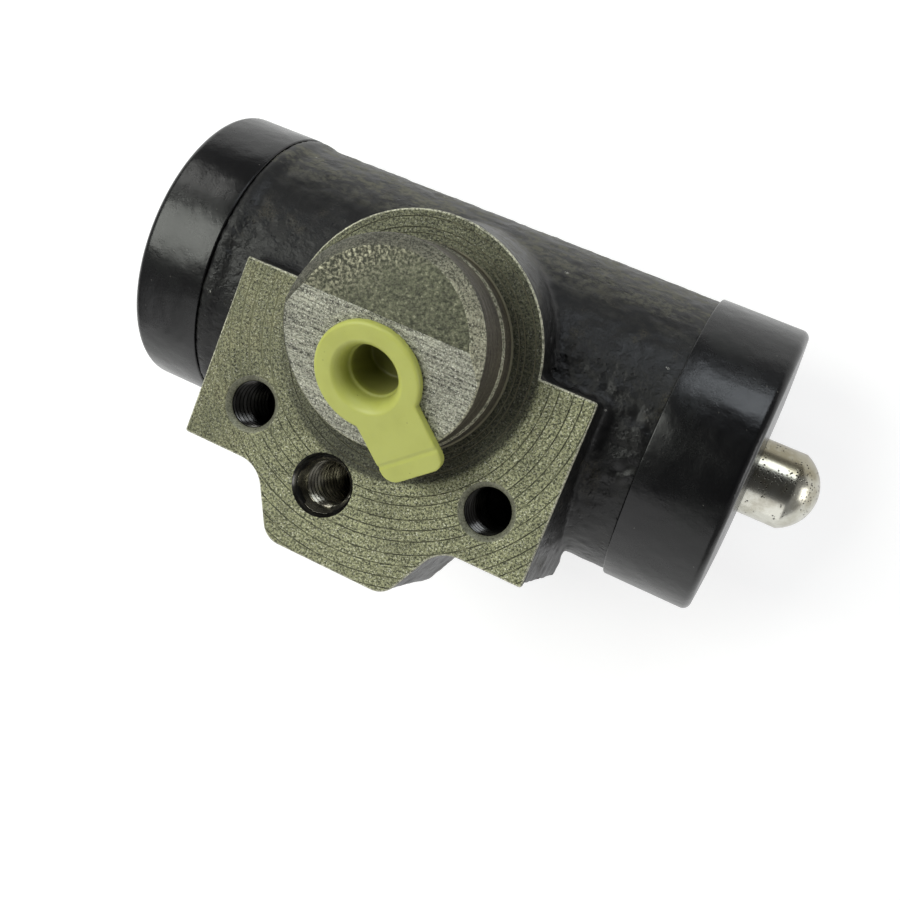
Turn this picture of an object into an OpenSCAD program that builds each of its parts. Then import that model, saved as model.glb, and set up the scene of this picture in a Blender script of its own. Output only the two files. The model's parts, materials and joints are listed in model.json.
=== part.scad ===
// Double-acting hydraulic wheel cylinder: one iron casting with a machined mounting pad and spigot,
// two opposed pistons in one bore, rubber end boots, push rods and a transit plug in the inlet port.
// The origin is on the spigot's axis at the mounting face. +X runs along the bore, +Z points out of
// the mounting face, away from the bore. Sizes are in millimetres.

/* [Bore and barrel] */
// Diameter of the bore
bore_d = 28.6; // [27:0.1:30]
// Distance from the mounting face to the bore's axis
bore_drop = 28.4; // [27.4:0.1:30]
// Diameter of the cast barrel
barrel_d = 44.9; // [43.6:0.1:46]
// Length of barrel that shows between the boots
barrel_len = 72.4; // [68:0.2:78]
// Length of the casting from one bore mouth to the other
body_len = 88; // [82:0.2:98]
// Rise of the cast shoulder beside the left boot
shoulder_rise = 0.5; // [0.2:0.1:0.8]
// Length of the shoulder's level part
shoulder_len = 1.4; // [0.6:0.1:3]
// Radius of the shoulder's round end
shoulder_round = 2; // [1:0.1:3]

/* [Mounting pad] */
// Width of the pad along the bore
pad_w = 55.4; // [52:0.2:60]
// How far the ears reach above the spigot's axis
ear_top = 3; // [1:0.2:6]
// How far the ears reach below the spigot's axis
ear_reach = 24.6; // [23.6:0.2:27]
// How far the bleed lobe reaches below the spigot's axis
lobe_reach = 34.2; // [33.4:0.2:38]
// Flat width at the foot of the bleed lobe
lobe_w = 15.6; // [12:0.2:18]
// Lean of the lobe's sides
lobe_slant = 28; // [20:1:32]
// Radius of the round boss that carries the spigot
boss_r = 19.3; // [18:0.1:21]
// Depth of the pad's casting behind the mounting face
pad_depth = 20; // [18:0.5:22]
// Spread of the cast walls at that depth
pad_draft = 1.045; // [1.01:0.005:1.06]

/* [Mounting holes and bleed port] */
// Distance between the two mounting holes
hole_spacing = 38.4; // [37:0.2:40]
// Distance of the mounting holes below the spigot's axis
hole_down = 16.8; // [16:0.1:18]
// Minor diameter of the tapped holes
tapped_d = 6.8; // [6:0.1:7.4]
// Depth of the mounting holes
hole_depth = 15; // [12:0.5:15.5]
// Place of the bleed port along the bore
bleed_x = -4.6; // [-6:0.1:0]
// Distance of the bleed port below the spigot's axis
bleed_down = 23.3; // [23:0.1:25]
// Depth of the bleed port's thread
bleed_depth = 21; // [18:0.5:23]
// Radius of the cast boss around the bleed port
bleed_boss_r = 9; // [8:0.1:10]

/* [Spigot and inlet port] */
// Diameter of the spigot above its seat
spigot_d = 29; // [27:0.1:29.2]
// Diameter of the locating seat at the spigot's foot
seat_d = 29.6; // [29.4:0.1:31]
// Height of the locating seat
seat_h = 4; // [3:0.1:4.2]
// Height of the spigot
spigot_h = 14; // [13.6:0.1:15]
// Chamfer around the spigot's top
spigot_chamfer = 1.6; // [1:0.1:2]
// Tilt of the milled port face
port_tilt = 25; // [20:1:26]
// Place of the port face's upper edge above the spigot's axis
ridge_up = 3.6; // [2.6:0.1:4.6]
// Distance of the port from that edge, down the port face
port_down = 8.8; // [8.4:0.05:9.6]
// Place of the port along the bore
port_x = -0.4; // [-1.5:0.1:1.5]
// Minor diameter of the inlet port's thread
port_d = 9; // [8:0.1:9.4]
// Depth of the inlet port's thread
port_depth = 12; // [10:0.5:13]

/* [Pistons and push rods] */
// Distance from the bore's mouth to the right push rod's tip
rod_tip = 16.1; // [15:0.1:17.4]
// How much further in the left piston rests
left_setback = 1.6; // [0:0.1:2]
// Diameter of the push rods
rod_d = 12.2; // [10:0.1:13]
// Length of the push rods
rod_len = 30; // [29:0.1:31]
// Length of rod that shows past the boot
rod_reach = 10.8; // [10:0.1:11.4]
// Length of the pistons
piston_len = 18; // [16:0.1:18.6]
// Depth of the push rod's socket in the piston
socket_depth = 9.9; // [8:0.1:11]
// Length of the cup seals
cup_len = 7; // [6:0.1:8]
// Thickness of the cup seals' backs
cup_back = 3; // [2:0.1:3.4]
// Thickness of the cup seals' lips at the root
cup_lip = 2.6; // [2:0.1:3]
// Thickness of the expanders' sheet
expander_t = 1; // [0.6:0.1:1.2]
// Diameter of the return spring's wire
wire_d = 1.2; // [0.8:0.1:1.6]
// Mean diameter of the return spring's coil
coil_d = 13.8; // [11:0.2:15]

/* [Boots] */
// How far the boots stand proud of the barrel
boot_step = 0.6; // [0.4:0.1:1.2]
// Thickness of the boots' walls
boot_wall = 2.6; // [2.2:0.1:2.8]
// Thickness of the boots' ends
boot_end_t = 2.5; // [2:0.1:2.6]
// Radius of the boots' outer edges
boot_edge_r = 2; // [1:0.1:2.2]
// Height of the beads that grip the casting
bead_depth = 1; // [0.5:0.1:1.2]
// Width of the beads
bead_w = 2; // [1.5:0.1:2.4]

/* [Plug] */
// Diameter of the plug's collar
plug_d = 15.8; // [14:0.1:16]
// Thickness of the collar and the pull tab
plug_t = 1.3; // [1.2:0.1:2.2]
// Wall of the plug's hollow stem
plug_wall = 0.7; // [0.6:0.1:1.2]
// Length of the plug's stem
plug_stem = 9; // [7:0.5:9.5]
// Width of the pull tab
tab_w = 10; // [8:0.2:11]
// Reach of the pull tab from the plug's axis
tab_reach = 15.2; // [13:0.2:17]
// Direction of the pull tab across the port face
tab_turn = -48; // [-60:1:-30]
// Radius of the pull tab's corners
tab_corner_r = 2; // [1:0.1:3]

/* [Clearances] */
// Running clearance around the pistons, rods and plug, on the radius
run_gap = 0.06; // [0.03:0.01:0.09]
// Clearance between pieces that don't guide each other
free_gap = 0.3; // [0.3:0.05:0.4]
// Clearance of seated faces
seat_gap = 0.05; // [0.02:0.01:0.08]

/* [Hidden] */
$fn = 96;
right = 1;
left = -1;
eps = 0.01;
cut_past = 1;

bore_r = bore_d / 2;
barrel_r = barrel_d / 2;
barrel_half = barrel_len / 2;
body_half = body_len / 2;
collar_len = body_half - barrel_half;
mouth_chamfer = 1;
boot_r = barrel_r + boot_step;
boot_inner_r = boot_r - boot_wall;
boot_from = barrel_half + free_gap;
boot_room = rod_tip - rod_reach - boot_end_t;
collar_r = boot_inner_r - seat_gap;
groove_r = collar_r - bead_depth;
bead_from = barrel_half + (collar_len - bead_w) / 2;
bead_to = bead_from + bead_w;

pad_t = 3;
ear_corner_r = 0.4;
lobe_corner_r = 3.5;
lobe_fillet_r = 5;
tapped_r = tapped_d / 2;
hole_mouth = 0.8;
bleed_mouth = 1.3;
bleed_mouth_h = 2 * bleed_mouth;
drill_point_h = 2;
drill_point_r = 0.3;
bleed_boss_past = 2;
bleed_boss_depth = bore_drop + bleed_boss_past;
bleed_passage_r = 1.3;
bleed_passage_tilt = 65;

spigot_r = spigot_d / 2;
seat_r = seat_d / 2;
port_r = port_d / 2;
port_mouth = 0.6;
port_passage_r = 1.75;
port_to_bore = (spigot_h - port_down * sin(port_tilt) + bore_drop) / cos(port_tilt);

piston_r = bore_r - run_gap;
piston_chamfer = 0.6;
rod_r = rod_d / 2;
rod_chamfer = 0.5;
rod_nose_h = 0.66 * rod_r;
rod_nose_r = (rod_r * rod_r + rod_nose_h * rod_nose_h) / (2 * rod_nose_h);
socket_r = rod_r + free_gap;
socket_floor = piston_len - socket_depth;
lip_edge = 0.8;
cup_inner_r = piston_r - cup_lip;
expander_r = cup_inner_r - free_gap;
expander_flare = 1.2;
wire_r = wire_d / 2;
coil_r = coil_d / 2;
coil_turns = 7;

plug_stem_r = port_r - run_gap;
plug_hole_r = plug_stem_r - plug_wall;
plug_round = 0.5;

// How far in a side's piston, rod and boot end sit from the right side's place
function setback(dir) = dir < 0 ? left_setback : 0;
// Place of a boot's outer end along its own half of the bore
function boot_end(dir) = body_half + boot_room + boot_end_t - setback(dir);
// Place of a push rod's tip along its own half of the bore
function rod_end(dir) = body_half + rod_tip - setback(dir);
// Place of a piston's inner face along its own half of the bore
function piston_from(dir) = rod_end(dir) - rod_len - socket_floor;
// Points of a round corner from angle a to angle b
function corner(c, r, a, b, n = 12) =
    [for (i = [0:n]) c + r * [cos(a + (b - a) * i / n), sin(a + (b - a) * i / n)]];

// Right half of the lobe's edge, from the foot up to the ear
lobe_foot = [lobe_w / 2, -lobe_reach + lobe_corner_r];
lobe_side = lobe_foot + lobe_corner_r * [cos(lobe_slant), -sin(lobe_slant)];
fillet_y = -ear_reach - lobe_fillet_r;
fillet_touch_y = fillet_y + lobe_fillet_r * sin(lobe_slant);
fillet_touch_x = lobe_side.x + (fillet_touch_y - lobe_side.y) * tan(lobe_slant);
fillet_x = fillet_touch_x + lobe_fillet_r * cos(lobe_slant);
lobe_half = concat(
    corner(lobe_foot, lobe_corner_r, -90, -lobe_slant),
    corner([fillet_x, fillet_y], lobe_fillet_r, 180 - lobe_slant, 90)
);

// Colours of the sub-parts
cast_black = [0.07, 0.07, 0.07];
rubber_black = [0.03, 0.03, 0.035];
steel_grey = [0.72, 0.72, 0.72];
alloy_grey = [0.62, 0.63, 0.64];
plug_yellow = [0.72, 0.74, 0.38];

// Turns a shape made along +Z to run along the bore, on the right or the left half
module along_bore(dir = right) {
    mirror([dir < 0 ? 1 : 0, 0, 0])
        translate([0, 0, -bore_drop])
            rotate([0, 90, 0])
                children();
}

// Puts a shape on the milled port face, with its axis along the port
module at_port() {
    translate([0, ridge_up, spigot_h])
        rotate([port_tilt, 0, 0])
            translate([port_x, -port_down, 0])
                children();
}

// A rectangle with round corners between two opposite corners
module round_rect(low, high, r) {
    translate([low.x + r, low.y]) square([high.x - low.x - 2 * r, high.y - low.y]);
    translate([low.x, low.y + r]) square([high.x - low.x, high.y - low.y - 2 * r]);
    for (x = [low.x + r, high.x - r], y = [low.y + r, high.y - r])
        translate([x, y]) circle(r);
}

// Outline of the mounting pad: two ears, the bleed lobe and the spigot's boss
module pad_outline() {
    round_rect([-pad_w / 2, -ear_reach], [pad_w / 2, ear_top], ear_corner_r);
    circle(boss_r);
    for (m = [0, 1])
        mirror([m, 0])
            polygon(concat([[0, -lobe_reach]], lobe_half, [[0, -ear_reach + ear_corner_r]]));
}

// The rounded shoulder on the barrel beside the left boot
module shoulder() {
    shoulder_r = barrel_r + shoulder_rise;
    round_at = barrel_half - shoulder_len;
    along_bore(left)
        rotate_extrude()
            intersection() {
                square([shoulder_r, barrel_half]);
                union() {
                    translate([0, round_at]) square([shoulder_r, shoulder_len]);
                    translate([shoulder_r - shoulder_round, round_at]) circle(shoulder_round);
                }
            }
}

// A turned collar under a boot, with the groove for the boot's bead
module collar(dir) {
    along_bore(dir)
        rotate_extrude()
            difference() {
                square([collar_r, body_half]);
                translate([groove_r, bead_from - seat_gap]) square([boot_r, bead_w + 2 * seat_gap]);
            }
}

// The cast barrel with its shoulder and its collars
module barrel() {
    along_bore()
        translate([0, 0, -barrel_half]) cylinder(r = barrel_r, h = barrel_len);
    shoulder();
    for (dir = [right, left])
        collar(dir);
}

// The mounting pad, its drafted casting and the boss around the bleed port
module pad() {
    translate([0, 0, -pad_t]) linear_extrude(pad_t) pad_outline();
    translate([0, 0, -pad_t])
        mirror([0, 0, 1])
            linear_extrude(pad_depth - pad_t, scale = pad_draft) pad_outline();
    translate([bleed_x, -bleed_down, -bleed_boss_depth])
        cylinder(r = bleed_boss_r, h = bleed_boss_depth - pad_t);
}

// The turned spigot with its locating seat, milled to the tilted port face
module spigot() {
    difference() {
        translate([0, 0, -pad_t])
            rotate_extrude()
                polygon([
                    [0, 0], [seat_r, 0], [seat_r, pad_t + seat_h], [spigot_r, pad_t + seat_h],
                    [spigot_r, pad_t + spigot_h - spigot_chamfer],
                    [spigot_r - spigot_chamfer, pad_t + spigot_h], [0, pad_t + spigot_h]
                ]);
        translate([0, ridge_up, spigot_h])
            rotate([port_tilt, 0, 0])
                translate([-spigot_d, -2 * spigot_d, 0]) cube([2 * spigot_d, 2 * spigot_d, spigot_d]);
    }
}

// A tapped blind hole down from the mounting face, with a countersunk mouth and a drill point
module tapped_hole(depth, mouth, mouth_h) {
    translate([0, 0, -depth]) cylinder(r = tapped_r, h = depth + cut_past);
    translate([0, 0, -depth - drill_point_h])
        cylinder(r1 = drill_point_r, r2 = tapped_r, h = drill_point_h + eps);
    translate([0, 0, -mouth_h]) cylinder(r1 = tapped_r, r2 = tapped_r + 2 * mouth, h = 2 * mouth_h);
}

// The drilled way from the inlet port to the middle of the bore
module inlet_drilling() {
    at_port() {
        translate([0, 0, -port_depth]) cylinder(r = port_r, h = port_depth + cut_past);
        translate([0, 0, -0.9 * port_to_bore]) cylinder(r = port_passage_r, h = 0.9 * port_to_bore);
        translate([0, 0, -port_mouth])
            cylinder(r1 = port_r, r2 = port_r + 2 * port_mouth, h = 2 * port_mouth);
    }
}

// The drilled way from the foot of the bleed port to the bore
module bleed_drilling() {
    translate([bleed_x, -bleed_down, -bleed_depth - bleed_passage_r])
        rotate([bleed_passage_tilt, 0, 0])
            translate([0, 0, -bleed_down / 2]) cylinder(r = bleed_passage_r, h = bleed_down / 2);
}

// The bore, with its chamfered mouths
module bore() {
    along_bore()
        translate([0, 0, -body_half - cut_past]) cylinder(r = bore_r, h = body_len + 2 * cut_past);
    for (dir = [right, left])
        along_bore(dir)
            translate([0, 0, body_half - mouth_chamfer])
                cylinder(r1 = bore_r, r2 = bore_r + 2 * mouth_chamfer, h = 2 * mouth_chamfer);
}

// The iron casting, machined on the pad, the spigot and the bore
module cylinder_body() {
    color(cast_black)
        difference() {
            union() {
                barrel();
                pad();
                spigot();
            }
            bore();
            for (side = [right, left])
                translate([side * hole_spacing / 2, -hole_down, 0])
                    tapped_hole(hole_depth, hole_mouth, hole_mouth);
            translate([bleed_x, -bleed_down, 0]) tapped_hole(bleed_depth, bleed_mouth, bleed_mouth_h);
            bleed_drilling();
            inlet_drilling();
        }
}

// A rubber end boot: a cap gripped in the casting's bead groove, with a hole for the push rod
module boot(dir) {
    end = boot_end(dir);
    floor = end - boot_end_t;
    color(rubber_black)
        along_bore(dir)
            rotate_extrude()
                difference() {
                    union() {
                        translate([0, boot_from]) square([boot_r, end - boot_edge_r - boot_from]);
                        translate([0, boot_from]) square([boot_r - boot_edge_r, end - boot_from]);
                        translate([boot_r - boot_edge_r, end - boot_edge_r]) circle(boot_edge_r);
                    }
                    square([groove_r + seat_gap, floor]);
                    square([boot_inner_r, bead_from]);
                    translate([0, bead_to]) square([boot_inner_r, floor - bead_to]);
                    square([rod_r + run_gap, end + eps]);
                }
}

// A plain piston with a socket for the push rod in its outer face
module piston(dir) {
    color(alloy_grey)
        along_bore(dir)
            translate([0, 0, piston_from(dir)])
                rotate_extrude()
                    polygon([
                        [0, 0], [piston_r - piston_chamfer, 0], [piston_r, piston_chamfer],
                        [piston_r, piston_len - piston_chamfer], [piston_r - piston_chamfer, piston_len],
                        [socket_r, piston_len], [socket_r, socket_floor], [0, socket_floor]
                    ]);
}

// A rubber cup seal, open towards the middle of the bore
module cup_seal(dir) {
    color(rubber_black)
        along_bore(dir)
            translate([0, 0, piston_from(dir) - cup_len])
                rotate_extrude()
                    polygon([
                        [0, cup_len], [piston_r - piston_chamfer, cup_len],
                        [piston_r, cup_len - piston_chamfer], [piston_r, lip_edge],
                        [piston_r - lip_edge, 0], [cup_inner_r + lip_edge, lip_edge],
                        [cup_inner_r, cup_len - cup_back], [0, cup_len - cup_back]
                    ]);
}

// A dished steel expander that holds the seal's lip out and takes the spring
module expander(dir) {
    rim = cup_len - cup_back;
    color(steel_grey)
        along_bore(dir)
            translate([0, 0, piston_from(dir) - cup_back])
                rotate_extrude()
                    polygon([
                        [0, -expander_t], [expander_r - expander_flare - expander_t, -expander_t],
                        [expander_r - expander_t, -rim], [expander_r, -rim],
                        [expander_r - expander_flare, 0], [0, 0]
                    ]);
}

// A steel push rod with a blunt round nose
module push_rod(dir) {
    color(steel_grey)
        along_bore(dir)
            translate([0, 0, piston_from(dir) + socket_floor])
                rotate_extrude()
                    polygon(concat(
                        [[0, 0], [rod_r - rod_chamfer, 0], [rod_r, rod_chamfer]],
                        corner([0, rod_len - rod_nose_r], rod_nose_r, acos(rod_r / rod_nose_r), 90)
                    ));
}

// The coil spring that holds the two pistons' seals apart
module return_spring() {
    seat = cup_back + expander_t + 2 * seat_gap + wire_r;
    from = -(piston_from(left) - seat);
    to = piston_from(right) - seat;
    sides = 6;
    steps = 20 * coil_turns;
    rings = [for (i = [0:steps])
        let (a = 360 * coil_turns * i / steps, x = from + (to - from) * i / steps)
        [for (k = [0:sides - 1])
            let (b = 360 * k / sides, q = coil_r + wire_r * cos(b))
            [q * cos(a), q * sin(a), x + wire_r * sin(b)]]];
    skin = [for (i = [0:steps - 1], k = [0:sides - 1])
        let (n = (k + 1) % sides)
        [i * sides + k, i * sides + n, (i + 1) * sides + n, (i + 1) * sides + k]];
    caps = [[for (k = [sides - 1:-1:0]) k], [for (k = [0:sides - 1]) steps * sides + k]];
    color(steel_grey)
        along_bore()
            polyhedron([for (ring = rings) each ring], concat(skin, caps));
}

// Outline of the plug's pull tab, from the plug's axis outwards
module tab_outline() {
    rotate(tab_turn) {
        translate([0, -tab_w / 2]) square([tab_reach - tab_corner_r, tab_w]);
        round_rect([tab_reach - tab_w, -tab_w / 2], [tab_reach, tab_w / 2], tab_corner_r);
    }
}

// The soft transit plug pushed into the inlet port
module inlet_plug() {
    collar_r = plug_d / 2;
    color(plug_yellow)
        at_port()
            difference() {
                union() {
                    translate([0, 0, seat_gap]) linear_extrude(plug_t) tab_outline();
                    translate([0, 0, seat_gap])
                        rotate_extrude() {
                            square([collar_r, plug_t - plug_round]);
                            square([collar_r - plug_round, plug_t]);
                            translate([collar_r - plug_round, plug_t - plug_round]) circle(plug_round);
                        }
                    translate([0, 0, -plug_stem]) cylinder(r = plug_stem_r, h = plug_stem + plug_t / 2);
                }
                translate([0, 0, -plug_stem + 2 * plug_wall])
                    cylinder(r = plug_hole_r, h = plug_stem + 2 * plug_t);
                translate([0, 0, seat_gap])
                    cylinder(r1 = plug_hole_r, r2 = plug_hole_r + plug_t + eps, h = plug_t + eps);
            }
}

cylinder_body();
boot(right);  // right_boot
boot(left);  // left_boot
piston(right);  // right_piston
piston(left);  // left_piston
cup_seal(right);  // right_cup_seal
cup_seal(left);  // left_cup_seal
expander(right);  // right_expander
expander(left);  // left_expander
return_spring();
push_rod(right);  // right_push_rod
push_rod(left);  // left_push_rod
inlet_plug();
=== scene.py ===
"""Looks of a wheel cylinder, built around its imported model.

The casting's skin, its machined pad and spigot, the threads, the boots, the push rods, the plug and
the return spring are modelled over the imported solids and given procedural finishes. The pistons,
seals and expanders keep their solids. Every size is in metres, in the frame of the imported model: the
origin is on the spigot's axis at the mounting face, +X runs along the bore and +Z points out of the
face.
"""

from __future__ import annotations

import json
import logging
import math
from dataclasses import dataclass, field
from enum import Enum
from typing import Any, Callable, Mapping, Sequence, Union

import bpy
from mathutils import Matrix, Vector

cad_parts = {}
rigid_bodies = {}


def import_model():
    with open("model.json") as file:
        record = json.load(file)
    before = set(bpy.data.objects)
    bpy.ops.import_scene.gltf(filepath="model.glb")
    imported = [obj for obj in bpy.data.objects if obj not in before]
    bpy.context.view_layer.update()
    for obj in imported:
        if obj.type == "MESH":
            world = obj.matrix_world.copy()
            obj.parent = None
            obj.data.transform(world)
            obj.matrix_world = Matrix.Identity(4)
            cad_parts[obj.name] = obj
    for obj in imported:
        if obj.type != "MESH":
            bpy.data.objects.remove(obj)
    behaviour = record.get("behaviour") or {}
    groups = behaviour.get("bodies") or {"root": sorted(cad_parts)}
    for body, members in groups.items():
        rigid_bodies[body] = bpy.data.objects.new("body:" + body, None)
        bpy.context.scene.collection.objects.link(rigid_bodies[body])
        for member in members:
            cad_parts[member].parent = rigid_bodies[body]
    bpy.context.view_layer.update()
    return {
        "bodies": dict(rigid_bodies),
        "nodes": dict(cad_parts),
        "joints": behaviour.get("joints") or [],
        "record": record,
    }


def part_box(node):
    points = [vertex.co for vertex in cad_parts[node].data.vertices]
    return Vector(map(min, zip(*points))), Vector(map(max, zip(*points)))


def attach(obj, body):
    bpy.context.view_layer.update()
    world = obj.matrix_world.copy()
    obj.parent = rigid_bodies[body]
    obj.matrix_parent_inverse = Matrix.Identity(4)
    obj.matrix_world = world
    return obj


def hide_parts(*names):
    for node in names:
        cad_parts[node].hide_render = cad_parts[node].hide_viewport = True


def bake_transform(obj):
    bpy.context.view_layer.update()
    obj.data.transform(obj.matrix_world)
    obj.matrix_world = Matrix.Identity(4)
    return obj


LOG = logging.getLogger("wheel_cylinder")
MM = 0.001
MERGE = 0.001 * MM

Obj = bpy.types.Object
Mat = bpy.types.Material
Pair = tuple[float, float]
Colour = tuple[float, float, float]
Point = tuple[float, float, float]
Value = Union["Sock", float, Sequence[float]]

ORIGIN: Point = (0.0, 0.0, 0.0)
ALONG: Point = (1.0, 0.0, 0.0)
UP: Point = (0.0, 0.0, 1.0)
WHITE: Colour = (1.0, 1.0, 1.0)


class Side(Enum):
    """The two ends of the bore."""

    RIGHT = 1
    LEFT = -1

    @property
    def label(self) -> str:
        """The side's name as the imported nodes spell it."""
        return self.name.lower()


class Marks(Enum):
    """What a cutting tool left on a machined face."""

    TURNED = "rings about the spigot's axis"
    STIPPLED = "coarse broken stipple"
    MILLED = "straight streaks along the bore"
    WALL = "fine rings up the spigot's wall"


def operator_for(operation: str, swapped: bool = False) -> Callable[["Sock", Value], "Sock"]:
    """An operator of a socket, which adds one Math node.

    Args:
        operation: The Math node's operation.
        swapped: Whether the other value comes first, as in a reflected form.

    Returns:
        The operator's method.
    """

    def method(self: "Sock", other: Value) -> "Sock":
        """The result of the operation."""
        values = (other, self) if swapped else (self, other)
        return self.shader.maths(operation, *values)

    return method


class Sock:
    """A shader socket that takes part in Python arithmetic."""

    __add__ = operator_for("ADD")
    __radd__ = operator_for("ADD", swapped=True)
    __sub__ = operator_for("SUBTRACT")
    __rsub__ = operator_for("SUBTRACT", swapped=True)
    __mul__ = operator_for("MULTIPLY")
    __rmul__ = operator_for("MULTIPLY", swapped=True)
    __pow__ = operator_for("POWER")
    __rpow__ = operator_for("POWER", swapped=True)

    def __init__(self, shader: "Shader", socket: bpy.types.NodeSocket) -> None:
        """Keeps the socket and the shader it belongs to."""
        self.shader = shader
        self.socket = socket

    def step(self, low: float, high: float) -> "Sock":
        """A smooth rise from 0 at one value to 1 at another, or a fall where the first is higher.

        Args:
            low: The value at which the result is 0.
            high: The value at which the result is 1.

        Returns:
            The eased value, between 0 and 1.
        """
        rising = low < high
        ends = (0.0, 1.0) if rising else (1.0, 0.0)
        inputs = {"Value": self, "From Min": min(low, high), "From Max": max(low, high)}
        inputs.update({"To Min": ends[0], "To Max": ends[1]})
        return self.shader.node("ShaderNodeMapRange", {"interpolation_type": "SMOOTHSTEP"}, inputs)


class Shader:
    """The node tree of one material or of the world."""

    def __init__(self, owner: bpy.types.ID) -> None:
        """Clears the owner's node tree.

        Args:
            owner: A material or a world.
        """
        owner.use_nodes = True
        self.owner = owner
        self.tree = owner.node_tree
        self.tree.nodes.clear()
        self._point: Sock | None = None

    @classmethod
    def for_material(cls, name: str) -> "Shader":
        """A shader for a new material of that name."""
        return cls(bpy.data.materials.new(name))

    def node(
        self,
        kind: str,
        settings: Mapping[str, Any] | None = None,
        inputs: Mapping[Any, Value] | None = None,
        out: int | str = 0,
    ) -> Sock:
        """Adds a node of any type.

        Args:
            kind: The node's type name.
            settings: The node's own settings, set first.
            inputs: Values or links of its sockets, by name or number.
            out: The output that is wanted, by name or number.

        Returns:
            The wanted output.
        """
        node = self.tree.nodes.new(kind)
        for key, value in (settings or {}).items():
            setattr(node, key, value)
        for key, value in (inputs or {}).items():
            self._feed(node.inputs[key], value)
        return Sock(self, node.outputs[out]) if len(node.outputs) else Sock(self, node.inputs[0])

    def _feed(self, socket: bpy.types.NodeSocket, value: Value) -> None:
        """Links or sets one input socket.

        Args:
            socket: The input.
            value: A number, a colour, a vector or another socket.
        """
        if isinstance(value, Sock):
            self.tree.links.new(value.socket, socket)
        elif socket.type == "RGBA" and len(value) == 3:
            socket.default_value = (*value, 1.0)
        else:
            socket.default_value = value

    def maths(self, operation: str, *values: Value) -> Sock:
        """One Math node on one or two values."""
        return self.node("ShaderNodeMath", {"operation": operation}, dict(enumerate(values)))

    @property
    def point(self) -> Sock:
        """The place on the piece, in millimetres.

        Returns:
            The place, as a vector.
        """
        if self._point is None:
            place = self.node("ShaderNodeTexCoord", out="Object")
            self._point = self.scaled(place, (1 / MM, 1 / MM, 1 / MM))
        return self._point

    def scaled(self, vector: Sock, factors: Point, shift: Point = (0.0, 0.0, 0.0)) -> Sock:
        """A vector times a factor on each axis, then shifted."""
        inputs = {0: vector, 1: factors, 2: shift}
        return self.node("ShaderNodeVectorMath", {"operation": "MULTIPLY_ADD"}, inputs)

    def axes(self, vector: Sock) -> tuple[Sock, Sock, Sock]:
        """The three numbers of a vector.

        Args:
            vector: The vector.

        Returns:
            Its x, y and z.
        """
        parts = self.node("ShaderNodeSeparateXYZ", inputs={0: vector})
        outputs = parts.socket.node.outputs
        return Sock(self, outputs[0]), Sock(self, outputs[1]), Sock(self, outputs[2])

    def joined(self, x: Value, y: Value, z: Value) -> Sock:
        """A vector of three numbers."""
        return self.node("ShaderNodeCombineXYZ", inputs={0: x, 1: y, 2: z})

    def noise(
        self,
        scale: float,
        detail: float = 3.0,
        rough: float = 0.55,
        at: Sock | None = None,
        warp: float = 0.0,
    ) -> Sock:
        """Soft noise around 0.5.

        Args:
            scale: Features for each millimetre.
            detail: Octaves of finer noise.
            rough: How strong the finer noise is.
            at: The vector to read, or the place on the piece.
            warp: How far the pattern is pulled about.

        Returns:
            The noise value.
        """
        inputs = {"Vector": at or self.point, "Scale": scale, "Detail": detail}
        inputs.update({"Roughness": rough, "Distortion": warp})
        return self.node("ShaderNodeTexNoise", inputs=inputs)

    def cells(self, scale: float, at: Sock | None = None) -> Sock:
        """The distance to the nearest of scattered points, that many for each millimetre."""
        return self.node("ShaderNodeTexVoronoi", inputs={"Vector": at or self.point, "Scale": scale})

    def mix(self, amount: Value, first: Value, second: Value) -> Sock:
        """A colour between two colours."""
        inputs = {0: amount, 6: first, 7: second}
        return self.node("ShaderNodeMix", {"data_type": "RGBA"}, inputs, out=2)

    def shade(self, colour: Value, amount: Value) -> Sock:
        """A colour made lighter or darker by a factor.

        Args:
            colour: The colour.
            amount: The factor.

        Returns:
            The new colour.
        """
        grey = self.joined(amount, amount, amount)
        settings = {"data_type": "RGBA", "blend_type": "MULTIPLY"}
        return self.node("ShaderNodeMix", settings, {0: 1.0, 6: colour, 7: grey}, out=2)

    def bump(self, height: Sock, depth: float, normal: Sock | None = None) -> Sock:
        """A normal that stands for relief of that depth in metres.

        Args:
            height: The relief, from 0 to 1.
            depth: How far it reaches.
            normal: The normal that it starts from, if not the surface's own.

        Returns:
            The normal.
        """
        inputs: dict[str, Value] = {"Height": height, "Distance": depth, "Strength": 1.0}
        if normal is not None:
            inputs["Normal"] = normal
        return self.node("ShaderNodeBump", inputs=inputs)

    def surface(self, **inputs: Value) -> Mat:
        """Ends the material in a principled surface.

        Args:
            inputs: Socket values by name, with underscores for spaces.

        Returns:
            The finished material.
        """
        named = {key.replace("_", " "): value for key, value in inputs.items()}
        skin = self.node("ShaderNodeBsdfPrincipled", inputs=named)
        self.node("ShaderNodeOutputMaterial", inputs={"Surface": skin})
        return self.owner


@dataclass(frozen=True)
class PortAxis:
    """The inlet port's axis: where it meets the port face, and the way out of the port."""

    foot: Vector
    way: Vector

    @classmethod
    def of(cls, frame: dict[str, Any]) -> "PortAxis":
        """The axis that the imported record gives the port."""
        mount = next(m for m in frame["record"]["mounts"] if m["name"] == "inlet_port")
        return cls(Vector(mount["pos_m"]), Vector(mount["axis"]).normalized())

    def at(self, across: float, up_slope: float, height: float) -> Vector:
        """A place by its distances from the foot: along the bore, up the port face and off it."""
        slope = self.way.cross(Vector((1.0, 0.0, 0.0)))
        return self.foot + Vector((across, 0.0, 0.0)) + slope * up_slope + self.way * height


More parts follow.
